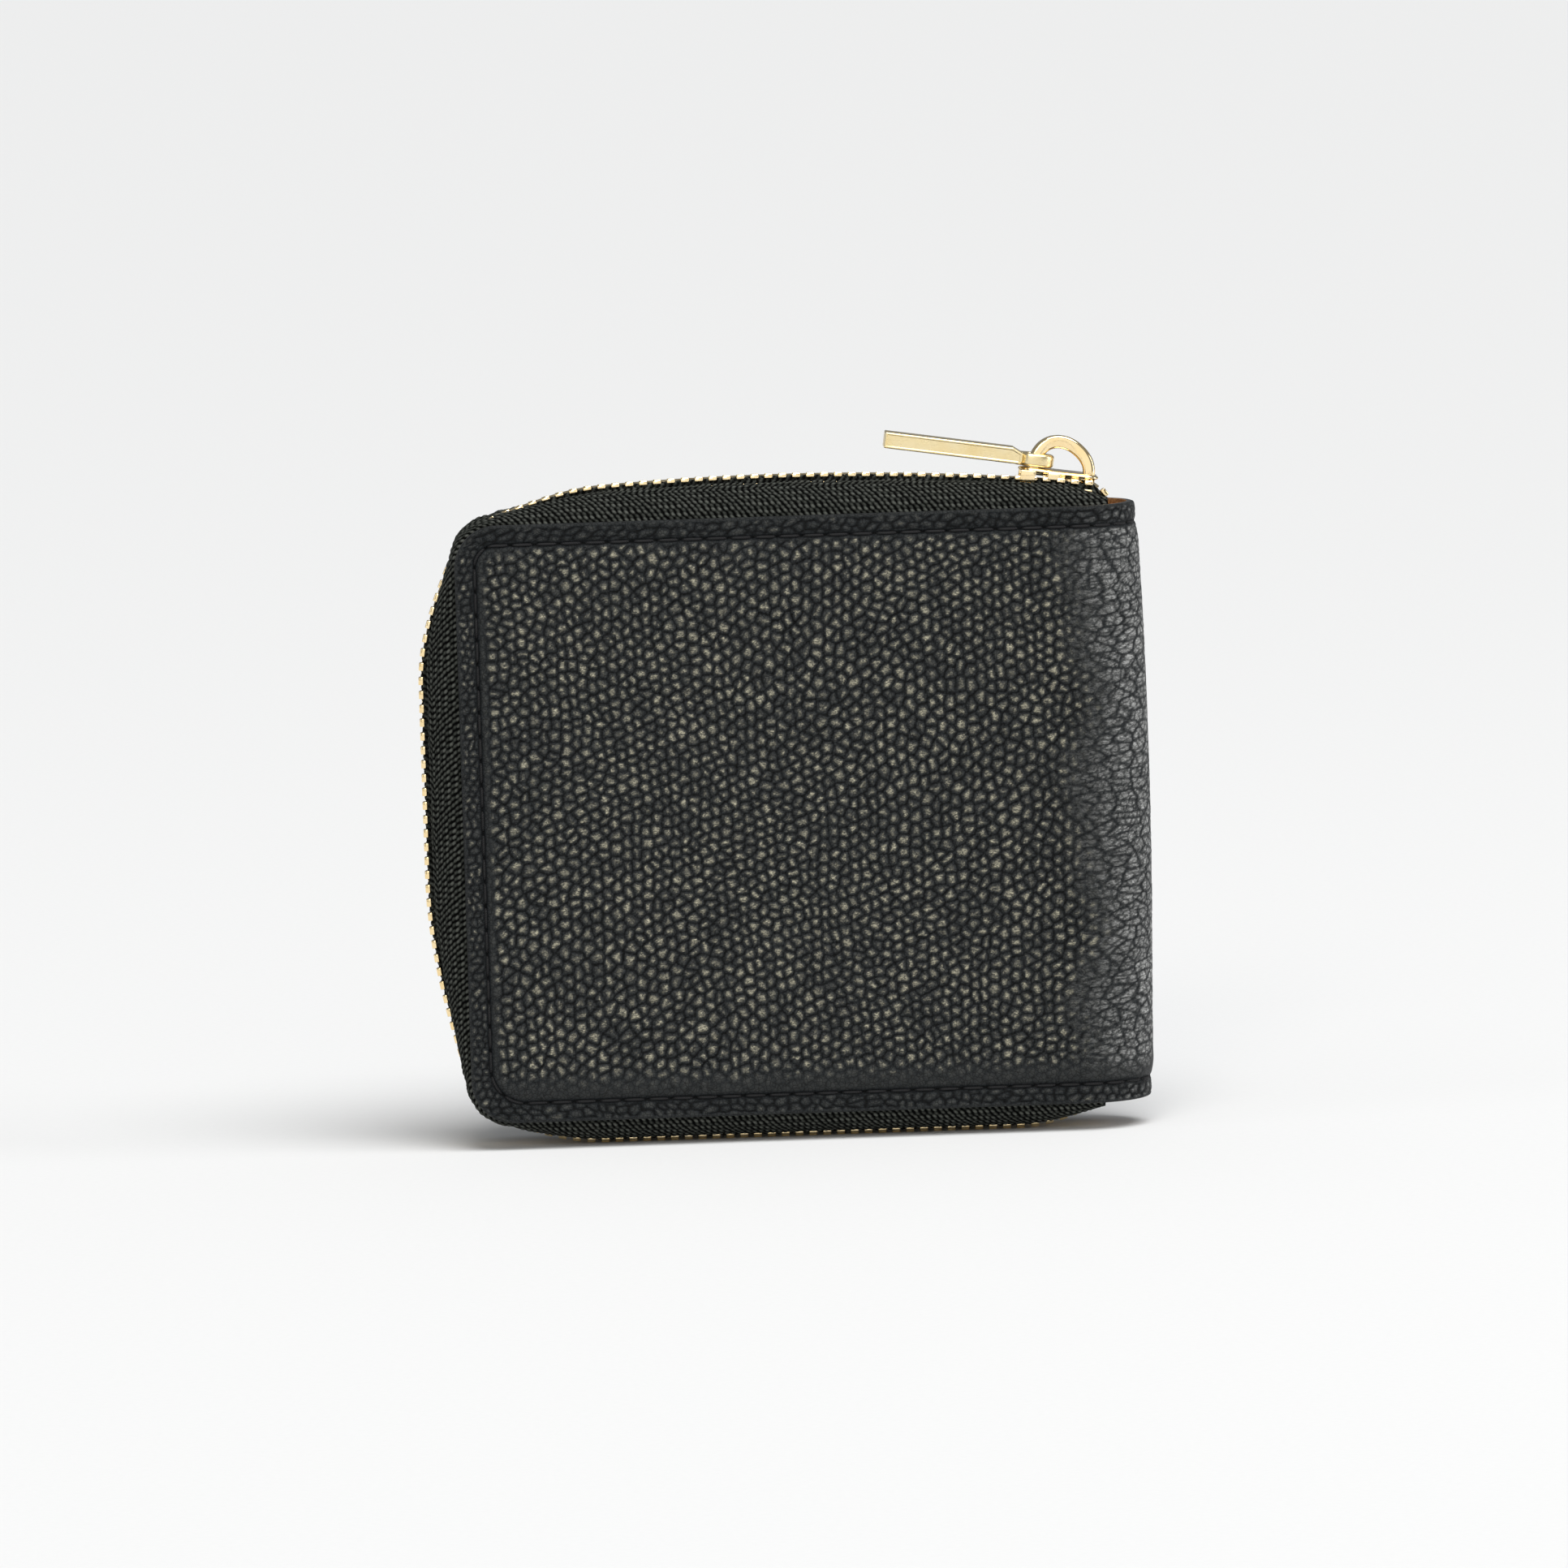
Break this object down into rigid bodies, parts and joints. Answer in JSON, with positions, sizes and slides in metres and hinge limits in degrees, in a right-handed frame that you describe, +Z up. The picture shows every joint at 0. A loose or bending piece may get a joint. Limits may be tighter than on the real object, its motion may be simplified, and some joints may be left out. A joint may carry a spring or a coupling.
{
  "type": "zip around wallet",
  "caption": "Compact square wallet whose padded covers fold about a round spine and close with a metal zip on three sides.",
  "frame": {"origin": "under the middle of the closed wallet, level with the lowest zip teeth it stands on", "axes": "+X towards the spine, -Y out of the front cover, +Z up towards the slider's run"},
  "size_m": [0.1155, 0.022, 0.1134],
  "materials": {
    "black_leather": "pebbled, satin",
    "tan_lining": "smooth, matt",
    "foam": "matt",
    "board": "matt",
    "zip_tape": "woven, matt",
    "gold": "polished, pale gold"
  },
  "bodies": {
    "back_half": {"back_cover": "black_leather", "back_padding": "foam", "back_board": "board", "back_lining": "tan_lining", "back_zip_tape": "zip_tape", "back_zip_teeth": "gold", "back_top_stop": "gold", "bottom_stop": "gold", "note_pocket": "tan_lining", "coin_pocket": "black_leather", "coin_zip_tape": "zip_tape", "coin_zip_teeth": "gold"},
    "spine": {"spine_leather": "black_leather", "spine_lining": "tan_lining"},
    "front_half": {"front_cover": "black_leather", "front_padding": "foam", "front_board": "board", "front_lining": "tan_lining", "front_zip_tape": "zip_tape", "front_zip_teeth": "gold", "front_top_stop": "gold", "front_slip_pocket": "black_leather", "card_pocket_1": "black_leather", "card_pocket_2": "black_leather", "card_pocket_3": "black_leather", "card_pocket_4": "black_leather"},
    "slider": {"slider_body": "gold", "slider_bridge": "gold"},
    "puller": {"puller": "gold"},
    "coin_slider": {"coin_slider": "gold"},
    "coin_puller": {"coin_puller": "gold"}
  },
  "joints": [
    {"name": "spine_fold", "type": "hinge", "parent": "back_half", "child": "spine", "pos_m": [0.05453, 0.00778, 0.05275], "axis": [0, 0, 1], "range_deg": [0, 86]},
    {"name": "cover_fold", "type": "hinge", "parent": "spine", "child": "front_half", "pos_m": [0.05453, -0.00778, 0.05275], "axis": [0, 0, 1], "range_deg": [0, 86]},
    {"name": "zip_travel", "type": "hinge", "parent": "back_half", "child": "slider", "pos_m": [-0.00025, 0, -0.35399], "axis": [0, 1, 0], "range_deg": [-7.6, 0], "deforming": ["front_zip_teeth", "back_zip_teeth", "front_zip_tape", "back_zip_tape"]},
    {"name": "puller_flip", "type": "hinge", "parent": "slider", "child": "puller", "pos_m": [0.04609, 0, 0.1062], "axis": [0, 1, 0], "range_deg": [0, 118]},
    {"name": "coin_zip_travel", "type": "slide", "parent": "back_half", "child": "coin_slider", "axis": [-1, 0, 0], "range_m": [0, 0.058], "deforming": ["coin_zip_teeth", "coin_zip_tape"]},
    {"name": "coin_puller_flip", "type": "hinge", "parent": "coin_slider", "child": "coin_puller", "pos_m": [0.03025, 0.0038, 0.0705], "axis": [0, 0, 1], "range_deg": [0, 42]}
  ],
  "couplings": [
    {"joint": "cover_fold", "follows": "spine_fold", "ratio": 1}
  ]
}
